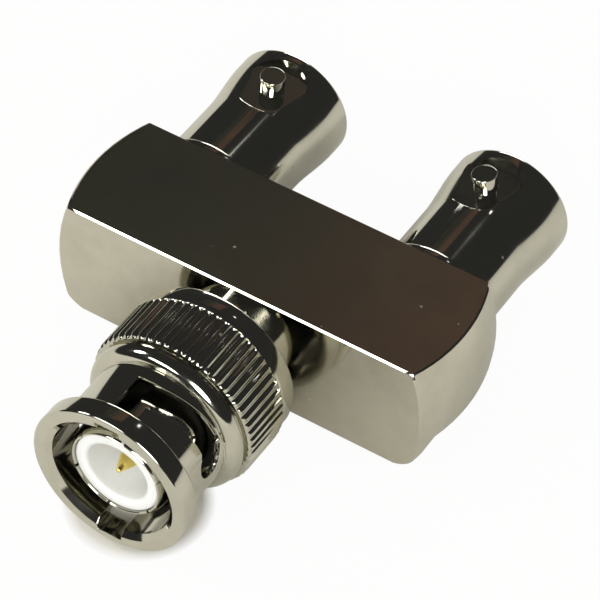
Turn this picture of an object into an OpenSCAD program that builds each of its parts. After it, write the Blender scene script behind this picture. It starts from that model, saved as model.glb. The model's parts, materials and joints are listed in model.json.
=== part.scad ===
// Coaxial splitter block: one bayonet plug on the front feeds two parallel bayonet jacks on the back.
// X runs along the block, Y from the plug's mouth to the jacks, Z up, all in millimetres.
// The origin is on the plug's axis, in the plane of its outer contact's front end.

/* [Layout] */
// Distance between the two jack axes
jack_spacing = 19.05; // [18.4:0.05:21]
// Distance from the outer contact's front end to the block's front face
plug_reach = 15.1; // [14.7:0.1:18]
// How far each jack stands out of the block's back face
jack_reach = 12.25; // [11.8:0.05:15]
// How far the left jack stands turned in its seat, in degrees
jack_turn_left = 2; // [-10:0.5:10]
// How far the right jack stands turned in its seat, in degrees
jack_turn_right = -7.5; // [-10:0.5:10]

/* [Block] */
// Height of the block between its two milled flats
block_height = 10.1; // [9.8:0.1:12]
// Depth of the block from front face to back face
block_depth = 10.5; // [10:0.1:13]
// Distance from a jack's axis to the turned rim, where the rim meets the front and back faces
block_end_margin = 5.775; // [5.6:0.025:8]
// How far the rim bulges out halfway between the faces
block_crown = 1; // [0.5:0.1:2]
// Rounding of the long edges between the flats and the faces
block_edge_round = 0.3; // [0.1:0.05:0.6]
// Small bevel where the rim meets the front and back faces
block_rim_bevel = 0.15; // [0.05:0.05:0.4]
// Rounding of the block's lower ends
block_end_round = 2.4; // [1:0.1:3]
// How far the lower ends' rounding starts in from the rim's corner
block_end_round_start = 1.4; // [0.8:0.1:2]

/* [Signal line] */
// Diameter of the cross channel
channel_bore = 4.4; // [4:0.1:5]
// Diameter of the plug that closes the channel's mouth
end_plug_diameter = 5.4; // [5.2:0.1:6]
// Length of the closing plug, measured in from the rim's widest point
end_plug_length = 4; // [3:0.1:4.5]
// Diameter of the bar that joins the three contacts
bar_diameter = 2; // [1.6:0.1:2.4]
// How far the bar runs on past each jack's axis
bar_overrun = 1.4; // [1:0.1:1.6]
// Diameter of the thin tails that end in the bar
tail_diameter = 1; // [0.8:0.05:1.2]
// Diameter of the insulator necks that reach the channel
insulator_neck = 3.8; // [3.2:0.1:4]
// Half the gap that the bar's sleeves leave for the plug's tail
bar_sleeve_gap = 1.1; // [0.9:0.1:1.6]
// Clearance round the tails inside the bar's sleeves
tail_clearance = 0.05; // [0.02:0.01:0.15]

/* [Coupling nut] */
// How far the nut's mouth stands ahead of the outer contact
nut_overhang = 0.87; // [0.5:0.01:1.2]
// Wall of the front ring round the mouth's bore
ring_wall = 1.37; // [1.2:0.01:1.8]
// Width of the front ring
ring_width = 1.7; // [1.3:0.05:2.2]
// Edge rounding of the front ring
ring_edge_round = 0.2; // [0.1:0.05:0.35]
// Wall of the slotted waist round the bore
waist_wall = 0.475; // [0.4:0.005:0.7]
// Length of the slotted waist
waist_length = 4.62; // [4.3:0.02:5.4]
// Radius of the rounded shoulder behind the waist
shoulder_round = 0.92; // [0.5:0.02:1.1]
// Width of the shoulder's flat top
shoulder_land = 0.12; // [0.05:0.01:0.4]
// Width of the relief groove ahead of the knurl
relief_width = 0.42; // [0.2:0.01:0.7]
// Depth of the relief groove below the shoulder
relief_depth = 0.28; // [0.1:0.01:0.4]
// Wall between the nut's cavity and the knurl's roots
knurl_wall = 0.76; // [0.6:0.02:1.2]
// Depth of the knurl
knurl_depth = 0.34; // [0.15:0.01:0.38]
// Width of the knurled band
knurl_width = 4.1; // [3.8:0.1:5.5]
// Number of ribs round the knurl
knurl_ribs = 60; // [40:2:72]
// Share of each rib's pitch that its crest takes
knurl_crest_share = 0.24; // [0.1:0.01:0.4]
// Bevel at both ends of the knurl
knurl_bevel = 0.3; // [0.15:0.05:0.4]
// Wall of the rear band round the cavity, where it meets the knurl
rear_band_wall = 0.85; // [0.7:0.05:1.1]
// Width of the smooth rear band
rear_band_width = 1.45; // [1.3:0.05:2.2]
// How much the rear band's radius shrinks towards its rear edge
rear_band_taper = 0.16; // [0:0.02:0.25]
// Edge rounding at the nut's rear
rear_edge_round = 0.22; // [0.1:0.02:0.3]
// Radial gap between the outer contact and the bore of the nut's mouth
mouth_gap = 0.95; // [0.92:0.01:1]
// Bevel round the mouth, along the axis
mouth_bevel = 0.36; // [0.2:0.02:0.6]
// Extra radius of the mouth's bevel at the front face
mouth_flare = 0.42; // [0.2:0.02:0.6]
// Height of the step inside the nut that stops on the plug's collar
step_height = 0.7; // [0.6:0.02:0.8]

/* [Bayonet slots] */
// Width of the slots and of the lug entries
slot_width = 2; // [1.96:0.02:2.3]
// How far the lug entries reach out of the bore inside the ring
entry_height = 0.75; // [0.65:0.05:0.95]
// Depth of the straight entry, from the ring's face to the lug's centre at the ramp's start
entry_depth = 4.3; // [4.2:0.05:4.6]
// Angle that the ramp turns through
ramp_turn = 70; // [55:1:75]
// How far the ramp rises along the axis
ramp_rise = 0.9; // [0.6:0.02:0.96]
// Angle from the ramp's end to the detent
detent_turn = 11; // [9:1:15]
// Drop from the ramp's end into the detent
detent_drop = 0.56; // [0.4:0.02:0.7]
// Diameter of the round detent that holds a lug
detent_diameter = 2.1; // [2.06:0.02:2.3]
// Extra depth of the entry behind the slot's edge
entry_relief = 0.05; // [0.02:0.01:0.2]

/* [Nut retention] */
// Radial running clearance of the nut on the collar and the washer
running_clearance = 0.06; // [0.03:0.01:0.09]
// End float between the nut's step and the collar
end_float = 0.05; // [0.03:0.01:0.15]
// How far the nut is drawn forward when a jack is locked in
coupling_preload = 0.75; // [0.5:0.05:0.95]
// Width of the collar that guides the nut
collar_width = 1; // [0.8:0.05:1.4]
// Wall of the plug's body round the outer contact
neck_wall = 0.3; // [0.25:0.05:0.5]
// Room that the wave washer takes at rest
spring_room = 2; // [1.8:0.05:2.3]
// Thickness of the wave washer's sheet
spring_sheet = 0.25; // [0.2:0.01:0.3]
// Number of waves round the wave washer
spring_waves = 3; // [2:1:4]
// Radial gap between the wave washer and the parts round it
spring_side_gap = 0.15; // [0.1:0.01:0.25]
// Thickness of the thrust washer
thrust_thickness = 0.4; // [0.3:0.05:0.6]
// Thickness of the retaining ring
snap_thickness = 0.6; // [0.4:0.05:0.8]
// Radial depth of the groove that holds the retaining ring
snap_groove_depth = 0.32; // [0.2:0.02:0.36]
// Radial width of the retaining ring
snap_width = 1.1; // [0.8:0.05:1.2]
// Angle of the gap in the retaining ring
snap_gap = 26; // [15:1:60]
// Thickness of the seal ring
seal_thickness = 0.6; // [0.4:0.05:0.9]
// How far a locked jack presses into the seal ring
seal_squeeze = 0.12; // [0.05:0.01:0.2]
// Gap between the seal ring and the nut's bore
seal_gap = 0.15; // [0.1:0.01:0.3]

/* [Plug contacts] */
// Wall of the slotted outer contact
sleeve_wall = 0.52; // [0.4:0.02:0.6]
// Wall of the outer contact at its tip
sleeve_tip_wall = 0.19; // [0.12:0.01:0.35]
// Length of the outer contact's taper
sleeve_taper = 0.8; // [0.4:0.05:1.5]
// Bore of the outer contact
sleeve_bore = 6.86; // [6.7:0.02:7]
// Length of the outer contact that is pressed into the collar
sleeve_seat = 4; // [2:0.1:5]
// Number of slots in the outer contact
sleeve_slots = 6; // [4:2:8]
// Width of the outer contact's slots
sleeve_slot_width = 0.35; // [0.2:0.05:0.5]
// Angle of the first slot, from the X axis
sleeve_slot_start = 20; // [0:5:60]
// Length of solid tube that the slots leave ahead of the collar
sleeve_root = 0.9; // [0.5:0.1:2]
// How far the plug's insulator stands back from the outer contact's end
insulator_setback = 0.12; // [0:0.02:0.4]
// Bore of the cup in the plug's insulator
cup_bore = 4.96; // [4.9:0.02:5.2]
// Room that is left ahead of a mated jack's insulator
cup_clearance = 0.18; // [0.1:0.02:0.4]
// Diameter of the centre pin
pin_diameter = 1.34; // [1.32:0.01:1.37]
// How far the pin's point stands back from the outer contact's end
pin_setback = 0.2; // [0.1:0.05:0.6]
// Length of the pin's cone
pin_cone = 1.55; // [0.8:0.05:2]
// Diameter of the pin's blunted point
pin_point = 0.24; // [0.15:0.01:0.4]
// Diameter of the pin's thicker rear part
pin_shank = 1.9; // [1.6:0.05:2.2]
// Depth behind the cup's floor where the thicker part begins
pin_step = 0.1; // [0.05:0.05:0.15]
// Gap round insulators that are slid in
slip_gap = 0.02; // [0.01:0.01:0.04]

/* [Jacks] */
// Diameter of the jack's rim
jack_rim_diameter = 9.6; // [9.5:0.02:9.66]
// Length of the rim's straight stretch and its rounded edge
jack_rim_length = 1.5; // [1.3:0.05:1.7]
// Edge rounding of the rim
jack_edge_round = 0.35; // [0.2:0.05:0.45]
// Length of the flare behind the rim
jack_flare_length = 3.4; // [2.4:0.1:4.5]
// Diameter of the barrel
jack_barrel_diameter = 8.8; // [8.7:0.05:9.2]
// Diameter of the collar at the block
jack_collar_diameter = 9.3; // [9:0.05:10]
// Length of the collar's straight stretch
jack_collar_length = 1.8; // [1:0.1:2.4]
// Length of the curve from collar to barrel
jack_collar_blend = 1.1; // [0.6:0.05:1.6]
// Radial clearance of a plug's outer contact in the jack's bore
bore_fit = 0.05; // [0.03:0.01:0.1]
// Bevel inside the jack's mouth
jack_mouth_bevel = 0.2; // [0.1:0.05:0.3]
// Diameter of the jack's shank in the block
jack_shank_diameter = 8; // [7.6:0.1:8.4]
// Metal left between the cross channel and the ends of the shanks
channel_wall = 0.45; // [0.3:0.05:0.8]
// Distance from the rim to the lugs' centre
lug_setback = 3.55; // [3.3:0.05:4]
// Diameter of the lugs
lug_diameter = 1.9; // [1.8:0.02:1.94]
// Distance over the two lugs
lug_span = 11; // [10.9:0.02:11.08]
// Radius of the round milled land at each lug's foot
land_radius = 2.6; // [2.2:0.1:2.8]
// Distance over the two milled lands
land_span = 8.3; // [8.25:0.05:8.7]
// Bore of the jack shell round its insulator
jack_insulator_bore = 6.6; // [6:0.1:6.8]
// Diameter of the insulator's front rod
jack_rod_diameter = 4.72; // [4.6:0.02:4.78]
// How far the rod stands back from the rim
jack_rod_setback = 0.45; // [0.3:0.05:0.8]
// Room behind a mated plug's outer contact
bore_clearance = 0.3; // [0.2:0.05:0.5]
// Diameter of the socket contact
socket_diameter = 2.1; // [1.9:0.05:2.3]
// Bore of the socket contact
socket_bore = 1.38; // [1.36:0.01:1.42]
// How far the socket stands back from the rod's face
socket_setback = 0.2; // [0.05:0.05:0.5]
// Depth of the socket's bore
socket_depth = 6.4; // [6:0.1:7]
// Width of the socket's slots
socket_slot_width = 0.2; // [0.1:0.02:0.3]
// Length of the socket's slots
socket_slot_length = 4; // [3:0.1:5]
// Gap round the socket where its fingers spread
socket_gap = 0.05; // [0.03:0.01:0.1]

/* [Hidden] */
$fn = 96;
// Overrun that lets a cut pass cleanly through a face
cut = 0.5;
// Floor that the plug's body keeps behind its wide bore
shank_floor = 1.5;
// Share of the channel's radius that its blind end runs on past the bar's end
channel_overrun = 0.4;
// Share of a rib's pitch that each of its flanks takes
knurl_flank_share = 0.16;
NICKEL = [0.72, 0.70, 0.64];
STEEL = [0.62, 0.62, 0.62];
GOLD = [0.85, 0.68, 0.25];
BRASS = [0.78, 0.62, 0.30];
PTFE = [0.95, 0.95, 0.92];
RUBBER = [0.16, 0.16, 0.17];

// Diameters that follow from the outer contact
sleeve_diameter = sleeve_bore + 2 * sleeve_wall;
sleeve_tip_diameter = sleeve_bore + 2 * sleeve_tip_wall;
neck_diameter = sleeve_diameter + 2 * neck_wall;
nut_bore = sleeve_diameter + 2 * mouth_gap;
nut_cavity = nut_bore + 2 * step_height;
ring_diameter = nut_bore + 2 * ring_wall;
waist_diameter = nut_bore + 2 * waist_wall;
entry_span = nut_bore + 2 * entry_height;
knurl_diameter = nut_cavity + 2 * (knurl_wall + knurl_depth);
rear_band_diameter = nut_cavity + 2 * rear_band_wall;
jack_bore = sleeve_diameter + 2 * bore_fit;

// Planes along Y through the block
block_front = plug_reach;
block_back = block_front + block_depth;
channel_y = block_front + block_depth / 2;
channel_radius = channel_bore / 2;
shank_depth = block_depth / 2 - channel_radius - channel_wall;
plug_shank_end = block_front + shank_depth;
jack_shank_end = block_back - shank_depth;
// Radius of the rim at the faces and at its widest, and the radius of its bulge
block_rim_radius = jack_spacing / 2 + block_end_margin;
rim_max = block_rim_radius + block_crown;
crown_radius = (pow(block_depth / 2, 2) + pow(block_crown, 2)) / (2 * block_crown);
// Half length of the front face along its long edges
face_half_length = sqrt(pow(block_rim_radius, 2) - pow(block_height / 2, 2));
// Ends of the cross channel
channel_right = jack_spacing / 2 + bar_overrun + channel_overrun * channel_radius;
end_plug_inner = -rim_max + end_plug_length;

// The nut's planes along Y, from its mouth to its rear
nut_front = -nut_overhang;
ring_rear = nut_front + ring_width;
waist_end = ring_rear + waist_length;
shoulder_top = waist_diameter / 2 + shoulder_round;
shoulder_end = waist_end + shoulder_round + shoulder_land;
knurl_front = shoulder_end + relief_width;
knurl_rear = knurl_front + knurl_width;
nut_rear = knurl_rear + rear_band_width;
knurl_root = knurl_diameter / 2 - knurl_depth;

// Radii between which the slots are cut, and how many short cuts make each one
slot_inner = nut_bore / 2 - cut;
slot_outer = waist_diameter / 2 + cut;
slot_cuts = 10;
slot_cut_overlap = 0.12;

// Where a locked jack's rim seats, and the parts that follow from it
detent_y = nut_front + entry_depth + ramp_rise - detent_drop;
seat_y = detent_y + lug_setback - coupling_preload;
seal_front = seat_y - seal_squeeze;
collar_front = seal_front + seal_thickness;
collar_rear = collar_front + collar_width;
nut_step = collar_front - end_float;
thrust_front = collar_rear + spring_room;
snap_front = thrust_front + thrust_thickness;
snap_rear = snap_front + snap_thickness;
collar_radius = nut_cavity / 2 - running_clearance;
neck_radius = neck_diameter / 2;
cup_floor = seat_y - jack_rod_setback + cup_clearance;
sleeve_end = collar_front + sleeve_seat;
body_bore_end = plug_shank_end - shank_floor;
pin_step_y = cup_floor + pin_step;

// The jack's planes along Y
jack_rim = block_back + jack_reach;
jack_bore_floor = jack_rim - seat_y - bore_clearance;
lug_y = jack_rim - lug_setback;
flare_end = jack_rim - jack_rim_length;
flare_start = flare_end - jack_flare_length;
socket_front = jack_rim - jack_rod_setback - socket_setback;

// Points of an arc round a centre, from one angle to another
function arc(x, y, r, from, to, steps = 8) =
    [for (i = [0:steps]) [x + r * cos(from + (to - from) * i / steps),
        y + r * sin(from + (to - from) * i / steps)]];
// Smooth step from 0 to 1
function ease(t) = t * t * (3 - 2 * t);

// Turns an outline of radius and distance about the Y axis
module turned(x = 0) {
    translate([x, 0, 0])
        rotate([-90, 0, 0])
            rotate_extrude()
                children();
}

// A plain cylinder along Y between two planes
module rod_y(r, from, to, x = 0) {
    translate([x, from, 0])
        rotate([-90, 0, 0])
            cylinder(r = r, h = to - from);
}

// A plain cylinder along X between two planes, on the channel's axis
module rod_x(r, from, to) {
    translate([from, channel_y, 0])
        rotate([0, 90, 0])
            cylinder(r = r, h = to - from);
}

// Rectangle with rounded corners, centred, built from true circles
module round_rect(w, h, r) {
    square([w - 2 * r, h], center = true);
    square([w, h - 2 * r], center = true);
    for (sx = [-1, 1], sy = [-1, 1])
        translate([sx * (w / 2 - r), sy * (h / 2 - r)])
            circle(r = r);
}

// The turned disc with its bulging rim, before the flats are milled
module block_blank() {
    translate([0, block_front, 0])
        turned()
            difference() {
                intersection() {
                    translate([rim_max - crown_radius, block_depth / 2])
                        circle(r = crown_radius, $fn = 180);
                    square([rim_max + cut, block_depth]);
                }
                for (y = [0, block_depth])
                    translate([block_rim_radius, y])
                        rotate(45)
                            square(block_rim_bevel * sqrt(2), center = true);
            }
}

// The two milled flats and the softened long edges
module block_flats() {
    translate([-rim_max - cut, channel_y, 0])
        rotate([90, 0, 90])
            linear_extrude(2 * (rim_max + cut))
                round_rect(block_depth, block_height, block_edge_round);
}

// Rounds the block's lower ends
module block_end_rounding() {
    r = block_end_round;
    start = face_half_length - block_end_round_start;
    for (s = [-1, 1])
        translate([s * start, block_back + cut, -block_height / 2])
            rotate([90, 0, 0])
                linear_extrude(block_depth + 2 * cut)
                    difference() {
                        translate([s > 0 ? 0 : -2 * r, -cut])
                            square([2 * r, r + cut]);
                        translate([0, r])
                            circle(r = r);
                    }
}

module block() {
    color(NICKEL)
        difference() {
            block_blank_milled();
            rod_y(neck_radius, block_front - cut, plug_shank_end);
            rod_y(insulator_neck / 2, block_front, channel_y);
            for (s = [-1, 1]) {
                rod_y(jack_shank_diameter / 2, jack_shank_end, block_back + cut, s * jack_spacing / 2);
                rod_y(insulator_neck / 2, channel_y, block_back, s * jack_spacing / 2);
            }
            rod_x(channel_radius, -rim_max, channel_right);
            rod_x(end_plug_diameter / 2, -rim_max - cut, end_plug_inner);
        }
}

// The block's outer form without its holes
module block_blank_milled() {
    difference() {
        intersection() {
            block_blank();
            block_flats();
        }
        block_end_rounding();
    }
}

// Closes the channel's mouth, flush with the bulging rim
module end_plug() {
    color(NICKEL)
        intersection() {
            block_blank();
            rod_x(end_plug_diameter / 2, -rim_max - cut, end_plug_inner);
        }
}

// Bar that joins the plug's pin to both jack contacts
module crossbar() {
    reach = jack_spacing / 2 + bar_overrun;
    color(BRASS)
        difference() {
            rod_x(bar_diameter / 2, -reach, reach);
            for (x = [-jack_spacing / 2, 0, jack_spacing / 2])
                rod_y(tail_diameter / 2, channel_y - channel_radius, channel_y + channel_radius, x);
        }
}

// Insulating sleeve round one half of the bar
module bar_sleeve(side) {
    from = side < 0 ? end_plug_inner : bar_sleeve_gap;
    to = side < 0 ? -bar_sleeve_gap : channel_right;
    color(PTFE)
        difference() {
            rod_x(channel_radius - slip_gap, from, to);
            rod_x(bar_diameter / 2, from - cut, side * (jack_spacing / 2 + bar_overrun));
            rod_x(bar_diameter / 2, side * (jack_spacing / 2 + bar_overrun), to + cut);
            rod_y(tail_diameter / 2 + tail_clearance, channel_y, channel_y + channel_bore,
                side * jack_spacing / 2);
        }
}

module bar_sleeve_left() {
    bar_sleeve(-1);
}

module bar_sleeve_right() {
    bar_sleeve(1);
}

// Outline of the jack's outside: shank, collar, barrel, flare and rounded rim
module jack_outline() {
    rim = jack_rim_diameter / 2;
    barrel = jack_barrel_diameter / 2;
    collar = jack_collar_diameter / 2;
    collar_end = block_back + jack_collar_length;
    polygon(concat(
        [[0, jack_shank_end], [jack_shank_diameter / 2, jack_shank_end],
            [jack_shank_diameter / 2, block_back], [collar, block_back]],
        [for (i = [0:8]) [collar - (collar - barrel) * ease(i / 8), collar_end + jack_collar_blend * i / 8]],
        [for (i = [0:8]) [barrel + (rim - barrel) * ease(i / 8), flare_start + jack_flare_length * i / 8]],
        arc(rim - jack_edge_round, jack_rim - jack_edge_round, jack_edge_round, 0, 90, 6),
        [[0, jack_rim]]));
}

// One lug with the milled land round its foot, pointing up
module lug() {
    translate([0, lug_y, 0])
        cylinder(d = lug_diameter, h = lug_span / 2);
}

// The ring of metal that the hollow mill takes away round a lug
module lug_land() {
    translate([0, lug_y, land_span / 2])
        difference() {
            cylinder(r = land_radius, h = lug_span);
            translate([0, 0, -cut])
                cylinder(d = lug_diameter, h = lug_span + 2 * cut);
        }
}

module jack_shell(side, turn) {
    color(NICKEL)
        translate([side * jack_spacing / 2, 0, 0])
            rotate([0, turn, 0])
                difference() {
                    union() {
                        difference() {
                            turned()
                                jack_outline();
                            for (flip = [0, 180])
                                rotate([0, flip, 0])
                                    lug_land();
                        }
                        for (flip = [0, 180])
                            rotate([0, flip, 0])
                                lug();
                    }
                    rod_y(jack_bore / 2, jack_bore_floor, jack_rim + cut);
                    rod_y(jack_insulator_bore / 2, jack_shank_end - cut, jack_rim);
                    turned()
                        polygon([[jack_bore / 2 - cut, jack_rim - jack_mouth_bevel - cut],
                            [jack_bore / 2 + jack_mouth_bevel + cut, jack_rim + cut],
                            [0, jack_rim + cut], [0, jack_rim - jack_mouth_bevel - cut]]);
                }
}

module jack_shell_left() {
    jack_shell(-1, jack_turn_left);
}

module jack_shell_right() {
    jack_shell(1, jack_turn_right);
}

// White insulator of a jack: neck, body and front rod
module jack_insulator(side) {
    x = side * jack_spacing / 2;
    color(PTFE)
        difference() {
            union() {
                rod_y(insulator_neck / 2 - slip_gap, channel_y + channel_radius, jack_shank_end, x);
                rod_y(jack_insulator_bore / 2 - slip_gap, jack_shank_end, jack_bore_floor, x);
                rod_y(jack_rod_diameter / 2, jack_bore_floor, jack_rim - jack_rod_setback, x);
            }
            rod_y(socket_diameter / 2 + socket_gap, channel_y, jack_rim, x);
        }
}

module jack_insulator_left() {
    jack_insulator(-1);
}

module jack_insulator_right() {
    jack_insulator(1);
}

// Slotted socket with its tail in the bar
module jack_contact(side) {
    x = side * jack_spacing / 2;
    color(GOLD)
        difference() {
            union() {
                rod_y(socket_diameter / 2, jack_shank_end, socket_front, x);
                rod_y(tail_diameter / 2, channel_y - bar_diameter / 2, jack_shank_end, x);
            }
            rod_y(socket_bore / 2, socket_front - socket_depth, socket_front + cut, x);
            for (turn = [45, 135])
                translate([x, socket_front - socket_slot_length / 2 + cut, 0])
                    rotate([0, turn, 0])
                        cube([socket_diameter + cut, socket_slot_length + 2 * cut, socket_slot_width], center = true);
        }
}

module jack_contact_left() {
    jack_contact(-1);
}

module jack_contact_right() {
    jack_contact(1);
}

// Turned body of the plug: guide collar, neck and shank pressed into the block
module plug_body() {
    color(NICKEL)
        turned()
            difference() {
                union() {
                    translate([0, collar_front])
                        square([collar_radius, collar_width]);
                    translate([0, collar_front])
                        square([neck_radius, plug_shank_end - collar_front]);
                }
                translate([0, collar_front - cut])
                    square([sleeve_diameter / 2, sleeve_seat + cut]);
                translate([0, collar_front - cut])
                    square([sleeve_bore / 2, body_bore_end - collar_front + cut]);
                translate([0, collar_front - cut])
                    square([insulator_neck / 2, plug_shank_end - collar_front + 2 * cut]);
            }
}

// Slotted outer contact, its tip drawn in
module plug_sleeve() {
    fingers_end = collar_front - sleeve_root;
    color(NICKEL)
        difference() {
            turned()
                polygon([[sleeve_bore / 2, 0], [sleeve_tip_diameter / 2, 0],
                    [sleeve_diameter / 2, sleeve_taper], [sleeve_diameter / 2, sleeve_end],
                    [sleeve_bore / 2, sleeve_end]]);
            for (i = [0:sleeve_slots - 1])
                rotate([0, -sleeve_slot_start - i * 360 / sleeve_slots, 0])
                    translate([sleeve_bore / 2 - cut, -cut, -sleeve_slot_width / 2])
                        cube([sleeve_diameter / 2, fingers_end + cut, sleeve_slot_width]);
        }
}

// White insulator of the plug, with the cup that takes a jack's rod
module plug_insulator() {
    color(PTFE)
        difference() {
            union() {
                rod_y(sleeve_bore / 2 - slip_gap, insulator_setback, body_bore_end);
                rod_y(insulator_neck / 2 - slip_gap, body_bore_end, channel_y - channel_radius);
            }
            rod_y(cup_bore / 2, 0, cup_floor);
            rod_y(pin_diameter / 2, 0, channel_y);
            rod_y(pin_shank / 2, pin_step_y, channel_y);
        }
}

// Pointed centre pin with its tail in the bar
module plug_pin() {
    color(GOLD)
        turned()
            polygon([[0, pin_setback], [pin_point / 2, pin_setback],
                [pin_diameter / 2, pin_setback + pin_cone], [pin_diameter / 2, pin_step_y],
                [pin_shank / 2, pin_step_y], [pin_shank / 2, plug_shank_end],
                [tail_diameter / 2, plug_shank_end], [tail_diameter / 2, channel_y + bar_diameter / 2],
                [0, channel_y + bar_diameter / 2]]);
}

// Soft ring that a mated jack's rim presses on
module seal_ring() {
    color(RUBBER)
        turned()
            translate([sleeve_diameter / 2, seal_front])
                square([nut_bore / 2 - seal_gap - sleeve_diameter / 2, seal_thickness]);
}

// Wavy spring ring between the collar and the thrust washer
module wave_washer() {
    steps = 72;
    inner = neck_radius + spring_side_gap;
    outer = nut_cavity / 2 - spring_side_gap;
    swing = (spring_room - spring_sheet) / 2;
    middle = collar_rear + spring_room / 2;
    half = spring_sheet / 2;
    function wave(i) = middle + swing * cos(360 * spring_waves * i / steps);
    function corner(i, r, y) = [r * cos(360 * i / steps), y, r * sin(360 * i / steps)];
    points = [for (i = [0:steps - 1])
        each [corner(i, inner, wave(i) - half), corner(i, outer, wave(i) - half),
            corner(i, outer, wave(i) + half), corner(i, inner, wave(i) + half)]];
    faces = [for (i = [0:steps - 1], k = [0:3])
        let (a = 4 * i, b = 4 * ((i + 1) % steps), n = (k + 1) % 4)
            each [[a + k, b + k, b + n], [a + k, b + n, a + n]]];
    color(STEEL)
        polyhedron(points, faces);
}

// Flat washer that the retaining ring pushes against the spring
module thrust_washer() {
    color(STEEL)
        turned()
            translate([neck_radius + running_clearance, thrust_front])
                square([nut_cavity / 2 - neck_radius - 2 * running_clearance, thrust_thickness]);
}

// Open ring that snaps into the groove inside the nut
module retaining_ring() {
    outer = nut_cavity / 2 + snap_groove_depth;
    color(STEEL)
        rotate([-90, 0, 0])
            rotate([0, 0, snap_gap / 2])
                rotate_extrude(angle = 360 - snap_gap)
                    translate([outer - snap_width, snap_front])
                        square([snap_width, snap_thickness]);
}

// Outline of the nut's outside, from its mouth to its rear edge
module nut_outline() {
    ring = ring_diameter / 2;
    waist = waist_diameter / 2;
    band = rear_band_diameter / 2;
    rear = band - rear_band_taper;
    polygon(concat(
        [[0, nut_front]],
        arc(ring - ring_edge_round, nut_front + ring_edge_round, ring_edge_round, -90, 0, 4),
        arc(ring - ring_edge_round, ring_rear - ring_edge_round, ring_edge_round, 0, 90, 4),
        [[waist, ring_rear]],
        arc(waist, waist_end + shoulder_round, shoulder_round, -90, 0, 10),
        [[shoulder_top, shoulder_end], [shoulder_top - relief_depth, shoulder_end],
            [shoulder_top - relief_depth, knurl_front], [knurl_root, knurl_front],
            [knurl_root, knurl_rear], [band, knurl_rear]],
        arc(rear - rear_edge_round, nut_rear - rear_edge_round, rear_edge_round, 0, 90, 5),
        [[0, nut_rear]]));
}

// Straight ribs, bevelled at both ends
module knurl() {
    pitch = 360 / knurl_ribs;
    crest = pitch * knurl_crest_share / 2;
    flank = pitch * knurl_flank_share;
    tip = knurl_diameter / 2;
    points = [for (i = [0:knurl_ribs - 1])
        each [for (p = [[-crest - flank, knurl_root], [-crest, tip], [crest, tip], [crest + flank, knurl_root]])
            [p[1] * cos(i * pitch + p[0]), p[1] * sin(i * pitch + p[0])]]];
    intersection() {
        translate([0, knurl_front, 0])
            rotate([-90, 0, 0])
                linear_extrude(knurl_width)
                    polygon(points);
        turned()
            polygon([[0, knurl_front], [tip - knurl_bevel, knurl_front], [tip, knurl_front + knurl_bevel],
                [tip, knurl_rear - knurl_bevel], [tip - knurl_bevel, knurl_rear], [0, knurl_rear]]);
    }
}

// Hollow of the nut: bevelled mouth, bore, step, cavity and ring groove
module nut_hollow() {
    bore = nut_bore / 2;
    cavity = nut_cavity / 2;
    turned()
        polygon([[0, nut_front - cut], [bore + mouth_flare * (1 + cut / mouth_bevel), nut_front - cut],
            [bore, nut_front + mouth_bevel], [bore, nut_step], [cavity, nut_step],
            [cavity, snap_front], [cavity + snap_groove_depth, snap_front],
            [cavity + snap_groove_depth, snap_rear], [cavity, snap_rear],
            [cavity, nut_rear + cut], [0, nut_rear + cut]]);
}

// Path of a lug's centre through the slot, as angle from the entry and place along Y
function slot_place(t) =
    t < ramp_turn
        ? [t, nut_front + entry_depth + ramp_rise * ease(t / ramp_turn)]
        : [t, nut_front + entry_depth + ramp_rise - detent_drop * ease((t - ramp_turn) / detent_turn)];

// One straight cut of the slot, between two places on the lug's path
module slot_cut(from, to) {
    run = (to[0] - from[0]) * PI / 180 * waist_diameter / 2;
    rise = to[1] - from[1];
    reach = norm([run, rise]) + 2 * slot_cut_overlap;
    rotate([0, (from[0] + to[0]) / 2, 0])
        translate([0, (from[1] + to[1]) / 2, slot_inner])
            rotate([0, 0, atan2(rise, run)])
                translate([-reach / 2, -slot_width / 2, 0])
                    cube([reach, slot_width, slot_outer - slot_inner]);
}

// The slot through the waist: a row of short cuts along the path, and the round detent
module slot_cutter() {
    turn = ramp_turn + detent_turn;
    for (i = [0:slot_cuts - 1])
        slot_cut(slot_place(turn * i / slot_cuts), slot_place(turn * (i + 1) / slot_cuts));
    rotate([0, turn, 0])
        translate([0, slot_place(turn)[1], slot_inner])
            cylinder(d = detent_diameter, h = slot_outer - slot_inner);
}

// Straight way in for a lug, from the ring's face to the slot
module lug_entry() {
    translate([-slot_width / 2, nut_front - cut, 0])
        cube([slot_width, entry_depth + cut + slot_width / 2 + entry_relief, entry_span / 2]);
}

// Knurled bayonet nut
module coupling_nut() {
    color(NICKEL)
        difference() {
            union() {
                turned()
                    nut_outline();
                knurl();
            }
            nut_hollow();
            for (flip = [0, 180])
                rotate([0, flip, 0]) {
                    lug_entry();
                    slot_cutter();
                }
        }
}

block();
end_plug();
crossbar();
bar_sleeve_left();
bar_sleeve_right();
jack_shell_left();
jack_shell_right();
jack_insulator_left();
jack_insulator_right();
jack_contact_left();
jack_contact_right();
plug_body();
plug_sleeve();
plug_insulator();
plug_pin();
seal_ring();
wave_washer();
thrust_washer();
retaining_ring();
coupling_nut();
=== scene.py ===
# %% [markdown]
# # A coaxial splitter block, dressed around its imported solids
# The real thing is a nickel-plated block with a bayonet plug on its front and two parallel bayonet jacks on its back.
# The imported CAD model gives every size and place. Here the parts that show are modelled again with fine, rounded
# edges, because plated metal is judged by its highlights, and a highlight needs an edge with a little radius.

# %% Frame and units
import json
import math

import bmesh
import bpy
from mathutils import Matrix, Vector


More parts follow.
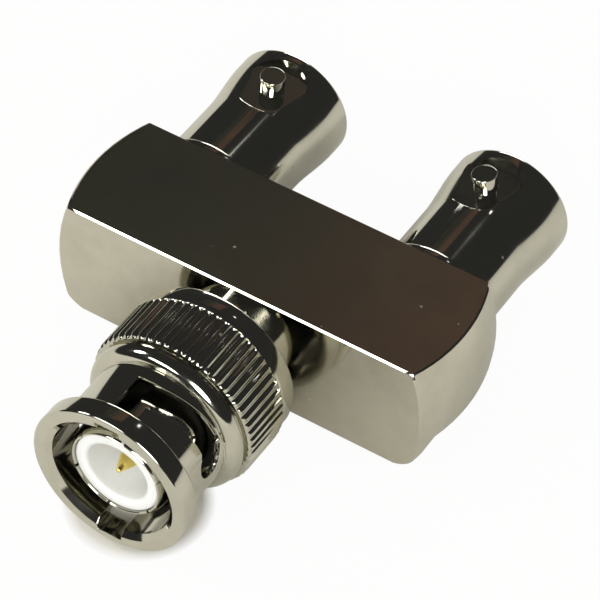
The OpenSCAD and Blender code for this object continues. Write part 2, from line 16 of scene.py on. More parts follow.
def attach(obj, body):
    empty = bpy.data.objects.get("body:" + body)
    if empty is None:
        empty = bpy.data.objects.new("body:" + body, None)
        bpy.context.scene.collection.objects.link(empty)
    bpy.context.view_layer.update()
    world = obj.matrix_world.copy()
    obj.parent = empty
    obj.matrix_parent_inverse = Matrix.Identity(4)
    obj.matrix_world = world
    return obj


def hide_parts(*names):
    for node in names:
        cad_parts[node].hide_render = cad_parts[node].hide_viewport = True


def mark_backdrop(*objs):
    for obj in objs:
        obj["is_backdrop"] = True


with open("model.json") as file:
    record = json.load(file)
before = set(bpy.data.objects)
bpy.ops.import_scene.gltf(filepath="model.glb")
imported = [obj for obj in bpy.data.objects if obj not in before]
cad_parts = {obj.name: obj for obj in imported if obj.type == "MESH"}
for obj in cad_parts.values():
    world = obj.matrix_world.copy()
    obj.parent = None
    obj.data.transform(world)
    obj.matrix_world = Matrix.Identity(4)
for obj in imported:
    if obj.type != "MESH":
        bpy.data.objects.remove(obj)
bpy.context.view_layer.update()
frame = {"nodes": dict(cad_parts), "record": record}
nodes = frame["nodes"]
mm = 0.001

# %% [markdown]
# ## Sizes that the pieces share
# Everything lies along Y: the plug's mouth is at the origin and the jacks point to +Y. These are the same sizes as in
# the part's source, in millimetres, so that each new piece lies exactly where its solid does.

# %% Shared sizes, in millimetres
block_front, block_depth, block_height = 15.1, 10.5, 10.1
block_back = block_front + block_depth
rim_radius, rim_crown = 15.3, 1.0
jack_spacing = 19.05
jack_rim = block_back + 12.25
nut_front, nut_rear = -0.87, 12.95
knurl_front, knurl_rear, knurl_tip, band = 6.91, 11.3, 6.7, 6.45
nut_bore, nut_cavity, nut_step = 4.9, 5.6, 7.0
sleeve_outer, sleeve_inner = 3.95, 3.43
lug_at = jack_rim - 3.55


# %% [markdown]
# ## Helpers for turned work
# Nearly every piece here comes off a lathe. A lathe's tool follows an outline, so the helper draws an outline from a
# single vertex by extruding it from point to point, then spins it about the Y axis. The alternative, scaling stacked
# cylinders, would leave seams inside the metal.

# %% Turned pieces
def alone(piece):
    """Selects one object and nothing else."""
    if bpy.context.mode != "OBJECT":
        bpy.ops.object.mode_set(mode="OBJECT")
    bpy.ops.object.select_all(action="DESELECT")
    bpy.context.view_layer.objects.active = piece
    piece.select_set(True)


def arc(r_at, y_at, radius, start, stop, steps=6):
    """Points of an arc in an outline; 0 degrees points outwards, 90 degrees along +Y."""
    angles = [math.radians(start + (stop - start) * i / steps) for i in range(steps + 1)]
    return [(r_at + radius * math.cos(a), y_at + radius * math.sin(a)) for a in angles]


def smooth_step(t):
    return t * t * (3 - 2 * t)


def turned(name, outline, steps=192, closed=True):
    """Extrudes one vertex along an outline of (radius, y) points in mm, then spins it about the Y axis."""
    points = list(outline) + ([outline[0]] if closed else [])
    bpy.ops.object.select_all(action="DESELECT")
    bpy.ops.mesh.primitive_plane_add(size=mm, location=(0, 0, 0))
    piece = bpy.context.object
    piece.name = name
    bpy.ops.object.mode_set(mode="EDIT")
    bpy.ops.mesh.select_mode(type="VERT")
    bpy.ops.mesh.select_all(action="SELECT")
    bpy.ops.mesh.merge(type="CENTER")
    bpy.ops.transform.translate(value=(points[0][0] * mm, points[0][1] * mm, 0))
    for here, there in zip(points, points[1:]):
        step = ((there[0] - here[0]) * mm, (there[1] - here[1]) * mm, 0)
        bpy.ops.mesh.extrude_region_move(TRANSFORM_OT_translate={"value": step})
    bpy.ops.mesh.select_all(action="SELECT")
    bpy.ops.mesh.spin(steps=steps, angle=2 * math.pi, center=(0, 0, 0), axis=(0, 1, 0))
    bpy.ops.mesh.select_all(action="SELECT")
    bpy.ops.mesh.remove_doubles(threshold=0.002 * mm)
    bpy.ops.mesh.normals_make_consistent(inside=False)
    bpy.ops.object.mode_set(mode="OBJECT")
    return piece


def shaded(piece, angle=34):
    """Smooth shading in which the large faces decide the normals, so that fine edges don't bend their reflections."""
    alone(piece)
    bpy.ops.object.shade_smooth_by_angle(angle=math.radians(angle))
    normals = piece.modifiers.new("normals", "WEIGHTED_NORMAL")
    normals.keep_sharp = True
    bpy.ops.object.modifier_apply(modifier="normals")
    return piece


def placed(piece, x=0.0, turn=0.0):
    """Turns a piece about the Y axis, moves it along X, and leaves that in its mesh."""
    alone(piece)
    piece.rotation_euler = (0, math.radians(turn), 0)
    piece.location = (x * mm, 0, 0)
    bpy.ops.object.transform_apply(location=True, rotation=True, scale=True)
    return piece


def cut(piece, cutter, operation="DIFFERENCE"):
    """Applies one boolean and removes the cutter."""
    alone(piece)
    modifier = piece.modifiers.new("cut", "BOOLEAN")
    modifier.operation = operation
    modifier.solver = "EXACT"
    modifier.object = cutter
    bpy.ops.object.modifier_apply(modifier="cut")
    bpy.data.objects.remove(cutter)
    return piece


def fine_edges(piece, angle, width):
    """Takes the sharpness off the milled edges, as deburring and plating do, so that each one catches the light."""
    alone(piece)
    bpy.ops.object.mode_set(mode="EDIT")
    bpy.ops.mesh.select_all(action="SELECT")
    bpy.ops.mesh.remove_doubles(threshold=0.03 * mm)
    bpy.ops.object.mode_set(mode="OBJECT")
    edges = piece.modifiers.new("edges", "BEVEL")
    edges.limit_method, edges.angle_limit, edges.width, edges.segments = "ANGLE", math.radians(angle), width * mm, 2
    edges.use_clamp_overlap = False
    bpy.ops.object.modifier_apply(modifier="edges")


def rod_up(name, radius, bottom, top, y, vertices=96, bevel=0.0):
    """A cylinder that stands on end along Z, its upper edge rounded if asked; all in mm."""
    bpy.ops.object.select_all(action="DESELECT")
    bpy.ops.mesh.primitive_cylinder_add(
        vertices=vertices, radius=radius * mm, depth=(top - bottom) * mm, location=(0, y * mm, (top + bottom) / 2 * mm)
    )
    rod = bpy.context.object
    rod.name = name
    bpy.ops.object.transform_apply(location=True, rotation=True, scale=True)
    if bevel:
        bpy.ops.object.mode_set(mode="EDIT")
        bpy.ops.mesh.select_all(action="DESELECT")
        mesh = bmesh.from_edit_mesh(rod.data)
        for edge in mesh.edges:
            edge.select = all(v.co.z > (top - 0.001) * mm for v in edge.verts)
        bmesh.update_edit_mesh(rod.data)
        bpy.ops.mesh.bevel(offset=bevel * mm, segments=4, affect="EDGES")
        bpy.ops.object.mode_set(mode="OBJECT")
    return rod


def slab(name, low, high):
    """A box between two corners in mm, used as a cutter."""
    bpy.ops.object.select_all(action="DESELECT")
    middle = [(a + b) / 2 * mm for a, b in zip(low, high)]
    bpy.ops.mesh.primitive_cube_add(size=1, location=middle)
    box = bpy.context.object
    box.name = name
    box.scale = [(b - a) * mm for a, b in zip(low, high)]
    bpy.ops.object.transform_apply(location=True, rotation=True, scale=True)
    return box


# %% [markdown]
# ## Finishes
# Nickel plate is a mirror that isn't quite clean: handling leaves a haze that changes the roughness from place to
# place, and rubbing leaves hair-fine marks. One group makes both, and each metal uses it with its own values.

# %% The shared wear group
def wear_group():
    group = bpy.data.node_groups.new("handled surface", "ShaderNodeTree")
    for name, kind, value in (
        ("Tone", "NodeSocketColor", (1, 1, 1, 1)),
        ("Haze Tone", "NodeSocketColor", (1, 1, 1, 1)),
        ("Smooth", "NodeSocketFloat", 0.1),
        ("Rough", "NodeSocketFloat", 0.3),
        ("Mark Depth", "NodeSocketFloat", 0.5),
    ):
        socket = group.interface.new_socket(name=name, in_out="INPUT", socket_type=kind)
        socket.default_value = value
    for name, kind in (("Color", "NodeSocketColor"), ("Roughness", "NodeSocketFloat"), ("Height", "NodeSocketFloat")):
        group.interface.new_socket(name=name, in_out="OUTPUT", socket_type=kind)
    make, link = group.nodes.new, group.links.new
    inputs, outputs = make("NodeGroupInput"), make("NodeGroupOutput")
    where = make("ShaderNodeTexCoord")
    haze = make("ShaderNodeTexNoise")
    haze.inputs["Scale"].default_value = 210
    haze.inputs["Detail"].default_value = 5
    haze.inputs["Roughness"].default_value = 0.62
    spread = make("ShaderNodeMapRange")
    spread.inputs["From Min"].default_value = 0.42
    spread.inputs["From Max"].default_value = 0.68
    stretch = make("ShaderNodeMapping")
    stretch.inputs["Rotation"].default_value = (0.3, 0.2, 0.5)
    stretch.inputs["Scale"].default_value = (300, 6500, 1200)
    marks = make("ShaderNodeTexNoise")
    marks.inputs["Scale"].default_value = 1
    marks.inputs["Detail"].default_value = 3
    specks = make("ShaderNodeTexVoronoi")
    specks.inputs["Scale"].default_value = 330
    speck_size = make("ShaderNodeMapRange")
    speck_size.inputs["From Min"].default_value = 0.05
    speck_size.inputs["From Max"].default_value = 0.03
    speck_size.inputs["To Max"].default_value = 0.5
    speckled = make("ShaderNodeMath")
    speckled.operation = "MAXIMUM"
    tone = make("ShaderNodeMix")
    tone.data_type = "RGBA"
    rough = make("ShaderNodeMapRange")
    depth = make("ShaderNodeMath")
    depth.operation = "MULTIPLY"
    link(where.outputs["Object"], haze.inputs["Vector"])
    link(where.outputs["Object"], stretch.inputs["Vector"])
    link(stretch.outputs["Vector"], marks.inputs["Vector"])
    link(haze.outputs["Fac"], spread.inputs["Value"])
    link(spread.outputs["Result"], tone.inputs["Factor"])
    link(inputs.outputs["Tone"], tone.inputs["A"])
    link(inputs.outputs["Haze Tone"], tone.inputs["B"])
    link(tone.outputs["Result"], outputs.inputs["Color"])
    link(spread.outputs["Result"], rough.inputs["Value"])
    link(inputs.outputs["Smooth"], rough.inputs["To Min"])
    link(inputs.outputs["Rough"], rough.inputs["To Max"])
    link(where.outputs["Object"], specks.inputs["Vector"])
    link(specks.outputs["Distance"], speck_size.inputs["Value"])
    link(rough.outputs["Result"], speckled.inputs[0])
    link(speck_size.outputs["Result"], speckled.inputs[1])
    link(speckled.outputs["Value"], outputs.inputs["Roughness"])
    link(marks.outputs["Fac"], depth.inputs[0])
    link(inputs.outputs["Mark Depth"], depth.inputs[1])
    link(depth.outputs["Value"], outputs.inputs["Height"])
    return group


HANDLED = wear_group()


def finish_of(name, tone, haze, smooth, rough, marks, metallic=1.0, bump=0.004):
    """A material that places the wear group with its own values."""
    material = bpy.data.materials.new(name)
    material.use_nodes = True
    tree = material.node_tree
    shader = tree.nodes["Principled BSDF"]
    shader.inputs["Metallic"].default_value = metallic
    wear = tree.nodes.new("ShaderNodeGroup")
    wear.node_tree = HANDLED
    for socket, value in (("Tone", (*tone, 1)), ("Haze Tone", (*haze, 1)), ("Smooth", smooth), ("Rough", rough), ("Mark Depth", marks)):
        wear.inputs[socket].default_value = value
    lift = tree.nodes.new("ShaderNodeBump")
    lift.inputs["Distance"].default_value = bump * mm
    tree.links.new(wear.outputs["Color"], shader.inputs["Base Color"])
    tree.links.new(wear.outputs["Roughness"], shader.inputs["Roughness"])
    tree.links.new(wear.outputs["Height"], lift.inputs["Height"])
    tree.links.new(lift.outputs["Normal"], shader.inputs["Normal"])
    return material


# %% The finishes
nickel = finish_of("nickel_plate", (0.63, 0.61, 0.52), (0.56, 0.54, 0.45), 0.07, 0.16, 0.6)
nickel_bright = finish_of("nickel_plate_turned", (0.62, 0.61, 0.53), (0.56, 0.55, 0.47), 0.06, 0.13, 0.2)
gold = finish_of("gold_plate", (0.98, 0.78, 0.22), (0.92, 0.70, 0.20), 0.16, 0.26, 0.3)
brass = finish_of("bare_brass", (0.78, 0.60, 0.30), (0.70, 0.52, 0.25), 0.2, 0.35, 0.5)
steel = finish_of("spring_steel", (0.60, 0.60, 0.58), (0.52, 0.52, 0.50), 0.2, 0.32, 0.6)
white = finish_of("white_insulator", (0.70, 0.71, 0.70), (0.67, 0.67, 0.65), 0.34, 0.45, 0.5, metallic=0.0)
white_shader = white.node_tree.nodes["Principled BSDF"]
white_shader.inputs["Subsurface Weight"].default_value = 0.5
white_shader.inputs["Subsurface Scale"].default_value = 1.5 * mm
white_shader.inputs["Subsurface Radius"].default_value = (1, 1, 1)
rubber = finish_of("seal_rubber", (0.035, 0.035, 0.037), (0.05, 0.05, 0.05), 0.55, 0.7, 0.6, metallic=0.0)
SLOT_FINISH = {
    "nickel_plate": nickel,
    "gold_plate": gold,
    "bare_brass": brass,
    "spring_steel": steel,
    "white_insulator": white,
    "seal_rubber": rubber,
}


def dress(piece, body, slot_name, finish, *stands_for):
    """Gives a new piece its finish and its body, and hides the CAD nodes that it stands for."""
    piece.data.materials.clear()
    piece.data.materials.append(finish)
    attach(piece, body)
    if stands_for:
        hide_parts(*stands_for)
    print(piece.name, len(piece.data.polygons), "faces")
    return piece


# %% [markdown]
# ## The block
# The block starts as a turned disc whose rim bulges, and two flats are milled across it. Doing the same here, with a
# turned disc and two bisecting cuts, gives the curved edge where each flat runs out over the rim.

# %% Block
crown_arc = ((block_depth / 2) ** 2 + rim_crown**2) / (2 * rim_crown)
rim_middle = rim_radius + rim_crown - crown_arc
half_angle = math.degrees(math.asin(block_depth / 2 / crown_arc))
block_outline = (
    [(0, block_front)]
    + arc(rim_middle, block_front + block_depth / 2, crown_arc, -half_angle, half_angle, 12)
    + [(0, block_back)]
)
block = turned("block_body", block_outline, 72, closed=False)
alone(block)
bpy.ops.object.mode_set(mode="EDIT")
for side in (1, -1):
    bpy.ops.mesh.select_all(action="SELECT")
    bpy.ops.mesh.bisect(
        plane_co=(0, 0, side * block_height / 2 * mm), plane_no=(0, 0, side), use_fill=True, clear_outer=True
    )
bpy.ops.mesh.select_all(action="SELECT")
bpy.ops.mesh.remove_doubles(threshold=0.01 * mm)
bpy.ops.mesh.normals_make_consistent(inside=False)
bpy.ops.mesh.select_mode(type="EDGE")
for share, straight in ((1.0, True), (0.3, False)):
    bpy.ops.mesh.select_all(action="DESELECT")
    mesh = bmesh.from_edit_mesh(block.data)
    for edge in mesh.edges:
        long_edge = abs(edge.verts[0].co.x - edge.verts[1].co.x) > 20 * mm
        edge.select = edge.calc_face_angle(0) > 0.5 and long_edge == straight
    bmesh.update_edit_mesh(block.data)
    bpy.ops.transform.edge_bevelweight(value=share)
bpy.ops.object.mode_set(mode="OBJECT")
rounding = block.modifiers.new("rounding", "BEVEL")
rounding.limit_method, rounding.width, rounding.segments = "WEIGHT", 0.36 * mm, 1
bpy.ops.object.modifier_apply(modifier="rounding")

# %% [markdown]
# The two lower ends are rounded off with a much larger radius than the other edges. The tool that takes this away is a
# box with a cylinder taken out of it, so what it leaves is a quarter round that runs out in the bottom.

# %% Rounded lower ends
low_round, round_start, low = 2.9, 12.55, -block_height / 2
for end in (1, -1):
    near, far = sorted((end * round_start, end * 18))
    tool = slab("tool", (near, block_front - 1, low - 1), (far, block_back + 1, low + low_round))
    bpy.ops.object.select_all(action="DESELECT")
    bpy.ops.mesh.primitive_cylinder_add(
        vertices=144, radius=low_round * mm, depth=(block_depth + 4) * mm, rotation=(math.pi / 2, 0, 0),
        location=(end * round_start * mm, (block_front + block_depth / 2) * mm, (low + low_round) * mm),
    )
    roller = bpy.context.object
    alone(roller)
    bpy.ops.object.transform_apply(location=True, rotation=True, scale=True)
    cut(block, cut(tool, roller))
shaded(block, 30)
dress(block, "adapter", "nickel_plate", nickel, "block")

# %% [markdown]
# ## The coupling nut
# The nut is turned with its ring, waist, rounded shoulder and knurled band in one outline. The knurl is cut into the
# band afterwards, as a knurling wheel would: eight vertices to each rib, the outer ones kept and the others pulled in.

# %% Nut body
waist, shoulder = 5.375, 0.92
shoulder_top = waist + shoulder
waist_end, shoulder_end = 5.45, 6.49
nut_outline = (
    [(nut_bore + 0.42, nut_front)]
    + arc(6.27 - 0.2, nut_front + 0.2, 0.2, -90, 0, 5)
    + arc(6.27 - 0.2, 0.83 - 0.2, 0.2, 0, 90, 5)
    + arc(waist + 0.1, 0.93, 0.1, 180 + 90, 180, 3)
    + arc(waist, waist_end + shoulder, shoulder, -90, 0, 14)
    + [(shoulder_top, shoulder_end - 0.04), (shoulder_top - 0.04, shoulder_end)]
    + [(shoulder_top - 0.28, shoulder_end), (shoulder_top - 0.28, knurl_front)]
    + [(knurl_tip - 0.3, knurl_front), (knurl_tip - 0.1, knurl_front + 0.13), (knurl_tip, knurl_front + 0.38)]
    + [(knurl_tip, knurl_rear - 0.38), (knurl_tip - 0.1, knurl_rear - 0.13), (knurl_tip - 0.3, knurl_rear)]
    + [(band, knurl_rear), (band, nut_rear - 0.5)]
    + arc(6.36 - 0.22, nut_rear - 0.22, 0.22, 0, 90, 5)
    + [(nut_cavity, nut_rear), (nut_cavity, nut_step), (nut_bore, nut_step), (nut_bore, nut_front + 0.36)]
)
print("nut outline:", len(nut_outline), "points")

nut = turned("coupling_nut_body", nut_outline, 480)
alone(nut)
bpy.ops.object.mode_set(mode="EDIT")
bpy.ops.mesh.select_mode(type="VERT")
bpy.ops.mesh.select_all(action="DESELECT")
mesh = bmesh.from_edit_mesh(nut.data)
RIB = [1.0, 1.0, 0.8, 0.35, 0.2, 0.2, 0.35, 0.8]
by_depth = {}
for vertex in mesh.verts:
    radius = math.hypot(vertex.co.x, vertex.co.z) / mm
    if knurl_front < vertex.co.y / mm < knurl_rear and radius > band + 0.1:
        turn = math.degrees(math.atan2(vertex.co.z, vertex.co.x)) % 6
        share = (band + (radius - band) * RIB[round(turn / 0.75) % 8]) / radius
        by_depth.setdefault(round(share, 4), []).append(vertex.index)
mesh.verts.ensure_lookup_table()
for share, members in by_depth.items():
    if share == 1.0:
        continue
    bpy.ops.mesh.select_all(action="DESELECT")
    mesh.verts.ensure_lookup_table()
    for index in members:
        mesh.verts[index].select = True
    mesh.select_flush(True)
    bpy.ops.transform.resize(value=(share, 1, share), center_override=(0, 0, 0))
bmesh.update_edit_mesh(nut.data)
bpy.ops.object.mode_set(mode="OBJECT")

# %% [markdown]
# The lug entries and the ramped slots are milled out next. A lug follows a path of turn and place along Y, so short
# blocks are laid along that path and cut out one after another, with a round hole for the detent where the lug rests.

# %% Slots of the nut
ENTRY, RISE, DROP, RAMP, DETENT = nut_front + 4.3, 0.9, 0.56, 70, 11


def lug_place(turn):
    """Turn from the entry in degrees, to the lug's place along Y in mm."""
    if turn < RAMP:
        return ENTRY + RISE * smooth_step(turn / RAMP)
    return ENTRY + RISE - DROP * smooth_step((turn - RAMP) / DETENT)


def slot_cutters(flip, count=14):
    """Short blocks laid along the lug's path, each square to it, and the round detent at its end."""
    inner, outer, half, overlap = nut_bore - 0.5, waist + 0.5, 1.0, 0.1
    turns = [(RAMP + DETENT) * i / count for i in range(count + 1)]
    for start, stop in zip(turns, turns[1:]):
        run, rise = math.radians(stop - start) * waist, lug_place(stop) - lug_place(start)
        reach = math.hypot(run, rise) / 2 + overlap
        block_cut = slab("slot", (-reach, -half, inner), (reach, half, outer))
        alone(block_cut)
        block_cut.rotation_euler = (0, 0, math.atan2(rise, run))
        bpy.ops.object.transform_apply(location=False, rotation=True, scale=False)
        block_cut.location = (0, (lug_place(start) + lug_place(stop)) / 2 * mm, 0)
        bpy.ops.object.transform_apply(location=True, rotation=False, scale=False)
        yield placed(block_cut, turn=(start + stop) / 2 + flip)
    detent = rod_up("detent", 1.05, inner, outer, lug_place(RAMP + DETENT), 64)
    yield placed(detent, turn=RAMP + DETENT + flip)


for flip in (0, 180):
    cut(nut, placed(slab("entry", (-1, nut_front - 0.5, 0), (1, ENTRY + 1.05, 5.65)), turn=flip))
    for cutter in slot_cutters(flip):
        cut(nut, cutter)
fine_edges(nut, 50, 0.05)
shaded(nut, 32)
dress(nut, "coupling_nut", "nickel_plate", nickel_bright, "coupling_nut")

# %% [markdown]
# ## The plug's contacts
# Inside the nut stand a springy outer contact, slotted so that it can close on a jack, a white insulator with a deep
# cup, and the gold pin. Each is one turned outline; the slots are thin boxes cut out afterwards.

# %% Plug sleeve, insulator, pin and neck
sleeve = turned(
    "plug_sleeve_body",
    [(sleeve_inner, 0.05), (sleeve_inner + 0.05, 0), (3.57, 0), (3.62, 0.05), (3.8, 0.4), (3.92, 0.75), (sleeve_outer, 1.1)]
    + [(sleeve_outer, 11), (sleeve_inner, 11)],
)
for i in range(6):
    slot = slab("slot", (sleeve_inner - 0.5, -0.5, -0.12), (sleeve_outer + 0.5, 2.3, 0.12))
    cut(sleeve, placed(slot, turn=-20 - 60 * i))
shaded(sleeve, 30)
dress(sleeve, "adapter", "nickel_plate", nickel_bright, "plug_sleeve")

cup_floor = 6.3
insulator = turned(
    "plug_insulator_body",
    [(0.67, cup_floor), (2.3, cup_floor), (2.42, cup_floor - 0.06), (2.48, cup_floor - 0.2), (2.48, 0.42)]
    + arc(2.78, 0.42, 0.3, 180, 270, 6)
    + arc(3.21, 0.32, 0.2, -90, 0, 5)
    + [(3.41, 16), (0.95, 16), (0.95, cup_floor + 0.1), (0.67, cup_floor + 0.1)],
)
shaded(insulator, 40)
dress(insulator, "adapter", "white_insulator", white, "plug_insulator")

pin = turned(
    "plug_pin_body",
    [(0, 0.3)]
    + arc(0.02, 0.48, 0.18, -88, -25, 5)
    + [(0.56, 1.34), (0.63, 1.5), (0.67, 1.7), (0.67, cup_floor + 0.1)]
    + [(0.95, cup_floor + 0.1), (0.95, 17.7), (0, 17.7)],
    96,
    closed=False,
)
shaded(pin, 30)
dress(pin, "adapter", "gold_plate", gold, "plug_pin")

neck = turned(
    "plug_body_neck",
    [(sleeve_outer, 7.05)] + [(5.44, 7.05), (5.54, 7.15), (5.54, 7.95), (5.44, 8.05), (4.25, 8.05), (4.25, 15.2), (sleeve_outer, 15.2)],
)
shaded(neck, 30)
dress(neck, "adapter", "nickel_plate", nickel_bright, "plug_body")

# %% [markdown]
# ## The jacks
# A jack flares out to its rim. A hollow mill has cut a round land into the flare on each side, and left the bayonet
# lug standing in the middle of it. The land is a cylinder taken away, and the lug is put back by a union.

# %% Jack shells
RIM, BARREL, COLLAR, BORE = 4.8, 4.4, 4.8, 4.0
collar_end, flare_start = block_back + 0.55, jack_rim - 6.0


def jack_shell(name, side, turn):
    curve = [i / 12 for i in range(13)]
    outline = (
        [(COLLAR, block_back - 0.02)]
        + arc(COLLAR - 0.34, collar_end, 0.34, 0, 90, 8)
        + [(BARREL, collar_end + 0.34)]
        + [(BARREL + (RIM - BARREL) * smooth_step(t), flare_start + 4.6 * t) for t in curve]
        + arc(RIM - 0.35, jack_rim - 0.35, 0.35, 0, 90, 8)
        + [(BORE + 0.2, jack_rim), (BORE + 0.05, jack_rim - 0.1), (BORE, jack_rim - 0.3)]
        + [(BORE, jack_rim - 6.87), (3.3, jack_rim - 6.87), (3.3, block_back - 0.02)]
    )
    shell = turned(name, outline, 256)
    for flip in (0, 180):
        cut(shell, placed(rod_up("land", 2.6, 4.15, 7, lug_at, 128), turn=flip))
        cut(shell, placed(rod_up("lug", 0.95, 4.08, 5.5, lug_at, 64, 0.08), turn=flip), "UNION")
    fine_edges(shell, 24, 0.05)
    return shaded(placed(shell, side * jack_spacing / 2, turn), 30)


for side, turn, word in ((-1, 2, "left"), (1, -7.5, "right")):
    shell = jack_shell("jack_shell_" + word + "_body", side, turn)
    dress(shell, "adapter", "nickel_plate", nickel_bright, "jack_shell_" + word)

# %% [markdown]
# ## What shows inside the jacks
# A white rod stands in each jack with a slotted gold socket in its end.

# %% Jack insulators and sockets
for side, word in ((-1, "left"), (1, "right")):
    x = side * jack_spacing / 2
    rod = turned(
        "jack_insulator_" + word + "_body",
        [(1.1, jack_rim - 6.9), (1.1, jack_rim - 0.45), (2.26, jack_rim - 0.45), (2.36, jack_rim - 0.55)]
        + [(2.36, jack_rim - 6.87), (3.28, jack_rim - 6.87), (3.28, block_back), (1.1, block_back)],
        128,
    )
    dress(shaded(placed(rod, x), 40), "adapter", "white_insulator", white, "jack_insulator_" + word)
    end = jack_rim - 0.65
    socket = turned(
        "jack_contact_" + word + "_body",
        [(0.69, end - 6.4), (0.69, end - 0.12), (0.8, end), (0.97, end), (1.05, end - 0.08), (1.05, block_back), (0, block_back), (0, end - 6.4)],
        96,
    )
    for turn in (45, 135):
        cut(socket, placed(slab("slot", (-1.3, end - 4, -0.1), (1.3, end + 0.5, 0.1)), turn=turn))
    dress(shaded(placed(socket, x), 30), "adapter", "gold_plate", gold, "jack_contact_" + word)

# %% [markdown]
# ## The other nodes
# What is left of the CAD model lies inside the block or behind the nut. Those solids stay, and only get the finish
# that the record's slot names.

# %% Finishes on the CAD nodes
for subpart in frame["record"]["subparts"]:
    node = nodes[subpart["node"]]
    if not node.hide_render:
        node.data.materials.clear()
        node.data.materials.append(SLOT_FINISH[subpart["material_slot"]])
        print("finish:", subpart["node"], subpart["material_slot"])

# %% [markdown]
# ## The stage
# A mirror shows the room, so the room is what lights plated metal. The floor is pale, and the camera sees it as white.
# Over the object hangs a dark card, which is what the flat top of the block reflects; its colours are a painted
# reflection for that top.

# %% Floor, card, world and lamps
FLOOR_Z = -6.75


def flat_sheet(name, size, location):
    bpy.ops.object.select_all(action="DESELECT")
    bpy.ops.mesh.primitive_plane_add(size=size, location=location)
    sheet = bpy.context.object
    sheet.name = name
    bpy.ops.object.transform_apply(location=True, rotation=True, scale=True)
    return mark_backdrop(sheet) or sheet


def seen_as(name, color, strength, camera_white, shade_at, shade_radius):
    """Pale paper for the metal, and white for the camera except in one shaded spot, all in mm."""
    material = bpy.data.materials.new(name)
    material.use_nodes = True
    tree = material.node_tree
    tree.nodes.remove(tree.nodes["Principled BSDF"])
    paper = tree.nodes.new("ShaderNodeBsdfDiffuse")
    paper.inputs["Color"].default_value = (*color, 1)
    glow = tree.nodes.new("ShaderNodeEmission")
    glow.inputs["Strength"].default_value = strength
    path = tree.nodes.new("ShaderNodeLightPath")
    mix = tree.nodes.new("ShaderNodeMixShader")
    share = tree.nodes.new("ShaderNodeMath")
    share.operation = "MULTIPLY"
    where = tree.nodes.new("ShaderNodeTexCoord")
    away = tree.nodes.new("ShaderNodeVectorMath")
    away.operation = "DISTANCE"
    away.inputs[1].default_value = [c * mm for c in shade_at]
    open_floor = tree.nodes.new("ShaderNodeMapRange")
    open_floor.inputs["From Min"].default_value = shade_radius * mm
    open_floor.inputs["From Max"].default_value = (shade_radius + 1) * mm
    open_floor.inputs["To Max"].default_value = camera_white
    tree.links.new(where.outputs["Object"], away.inputs[0])
    tree.links.new(away.outputs["Value"], open_floor.inputs["Value"])
    tree.links.new(open_floor.outputs["Result"], share.inputs[1])
    tree.links.new(path.outputs["Is Camera Ray"], share.inputs[0])
    tree.links.new(share.outputs["Value"], mix.inputs["Fac"])
    tree.links.new(paper.outputs["BSDF"], mix.inputs[1])
    tree.links.new(glow.outputs["Emission"], mix.inputs[2])
    tree.links.new(mix.outputs["Shader"], tree.nodes["Material Output"].inputs["Surface"])
    return material


floor = flat_sheet("floor", 3.0, (0, 0, FLOOR_Z * mm))
floor.data.materials.append(seen_as("floor_paper", (0.62, 0.60, 0.54), 1.0, 0.96, (-0.5, 3.5, FLOOR_Z), 4.5))

# The card's colours paint the reflection on the block's flat top: near-black, with olive patches and a brown fade to
# the right.
card = flat_sheet("dark_card", 0.2, (-0.17, 0.30, 0.35))
dark = bpy.data.materials.new("dark_card_painted_reflection")
dark.use_nodes = True
dark_shader = dark.node_tree.nodes["Principled BSDF"]
dark_shader.inputs["Roughness"].default_value = 0.9
painted_reflection_tree = dark.node_tree
place = painted_reflection_tree.nodes.new("ShaderNodeTexCoord")
split = painted_reflection_tree.nodes.new("ShaderNodeSeparateXYZ")
fade = painted_reflection_tree.nodes.new("ShaderNodeMapRange")
fade.inputs["From Min"].default_value = -0.18
fade.inputs["From Max"].default_value = -0.12
reflection_patch_noise = painted_reflection_tree.nodes.new("ShaderNodeTexNoise")
reflection_patch_noise.inputs["Scale"].default_value = 38
reflection_patch_noise.inputs["Detail"].default_value = 3
reflection_patches = painted_reflection_tree.nodes.new("ShaderNodeMapRange")
reflection_patches.inputs["From Min"].default_value = 0.45
reflection_patches.inputs["From Max"].default_value = 0.65
# Painted reflection colours: near-black with olive patches, fading to brown on the right.
to_brown = painted_reflection_tree.nodes.new("ShaderNodeMix")
to_brown.data_type = "RGBA"
to_brown.inputs["A"].default_value = (0.020, 0.020, 0.018, 1)
to_brown.inputs["B"].default_value = (0.084, 0.047, 0.034, 1)
to_olive = painted_reflection_tree.nodes.new("ShaderNodeMix")
to_olive.data_type = "RGBA"
to_olive.inputs["A"].default_value = (0.020, 0.020, 0.018, 1)
to_olive.inputs["B"].default_value = (0.044, 0.046, 0.034, 1)
painted_reflection_tree.links.new(place.outputs["Object"], split.inputs["Vector"])
painted_reflection_tree.links.new(place.outputs["Object"], reflection_patch_noise.inputs["Vector"])
painted_reflection_tree.links.new(split.outputs["X"], fade.inputs["Value"])
painted_reflection_tree.links.new(reflection_patch_noise.outputs["Fac"], reflection_patches.inputs["Value"])
painted_reflection_tree.links.new(reflection_patches.outputs["Result"], to_olive.inputs["Factor"])
painted_reflection_tree.links.new(to_olive.outputs["Result"], to_brown.inputs["A"])
painted_reflection_tree.links.new(fade.outputs["Result"], to_brown.inputs["Factor"])
painted_reflection_tree.links.new(to_brown.outputs["Result"], dark_shader.inputs["Base Color"])
card.data.materials.append(dark)
card.visible_camera = False
card.visible_diffuse = False
card.visible_shadow = False

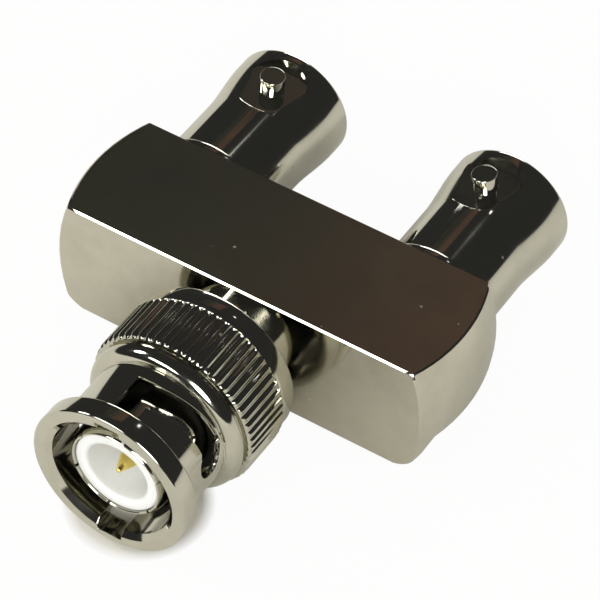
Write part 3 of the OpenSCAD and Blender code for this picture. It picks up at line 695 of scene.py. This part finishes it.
world = bpy.data.worlds.new("studio")
bpy.context.scene.world = world
world.use_nodes = True
air = world.node_tree
background = air.nodes["Background"]
background.inputs["Color"].default_value = (1, 1, 1, 1)
path = air.nodes.new("ShaderNodeLightPath")
room = air.nodes.new("ShaderNodeMapRange")
room.inputs["To Min"].default_value = 0.6
room.inputs["To Max"].default_value = 0.032
level = air.nodes.new("ShaderNodeMapRange")
level.inputs["To Max"].default_value = 1.0
air.links.new(path.outputs["Is Glossy Ray"], room.inputs["Value"])
air.links.new(room.outputs["Result"], level.inputs["To Min"])
air.links.new(path.outputs["Is Camera Ray"], level.inputs["Value"])
air.links.new(level.outputs["Result"], background.inputs["Strength"])


def soft_lamp(name, location, wide, high, power):
    bpy.ops.object.light_add(type="AREA", location=location)
    lamp = bpy.context.object
    lamp.name = name
    lamp.data.shape = "ELLIPSE"
    lamp.data.size, lamp.data.size_y = wide, high
    lamp.data.energy = power
    lamp.rotation_euler = (Vector((0, 0.01, 0)) - Vector(location)).to_track_quat("-Z", "Y").to_euler()


soft_lamp("front_lamp", (0.24, -0.42, 0.28), 0.24, 0.30, 2.2)
soft_lamp("left_lamp", (-0.42, -0.10, 0.30), 0.14, 0.14, 0.6)
soft_lamp("edge_lamp", (-0.19, -0.38, 0.32), 0.34, 0.10, 1.0)
soft_lamp("back_lamp", (-0.18, 0.50, 0.13), 0.26, 0.12, 0.8)
soft_lamp("line_lamp", (0.067, 0.37, 0.49), 0.03, 0.03, 0.006)

# %% [markdown]
# ## The camera
# The camera's place comes from a perspective fit: the block's corners, the rims and the knurl give one lens and one
# place that agree with all of them.

# %% Camera
camera_data = bpy.data.cameras.new("photo_camera")
camera = bpy.data.objects.new("photo_camera", camera_data)
bpy.context.scene.collection.objects.link(camera)
ahead = Vector((-0.34930, 0.58092, -0.73520)).normalized()
up = Vector((-0.40828, 0.61186, 0.67744)).normalized()
right = ahead.cross(up).normalized()
up = right.cross(ahead)
turn = Matrix((right, up, -ahead)).transposed().to_4x4()
camera.matrix_world = Matrix.Translation((0.08964, -0.12530, 0.18482)) @ turn
camera_data.sensor_width = 36
camera_data.lens = 36 * 3505 / 600
camera_data.clip_start = 0.01
bpy.context.scene.camera = camera
bpy.context.scene.view_settings.view_transform = "Standard"
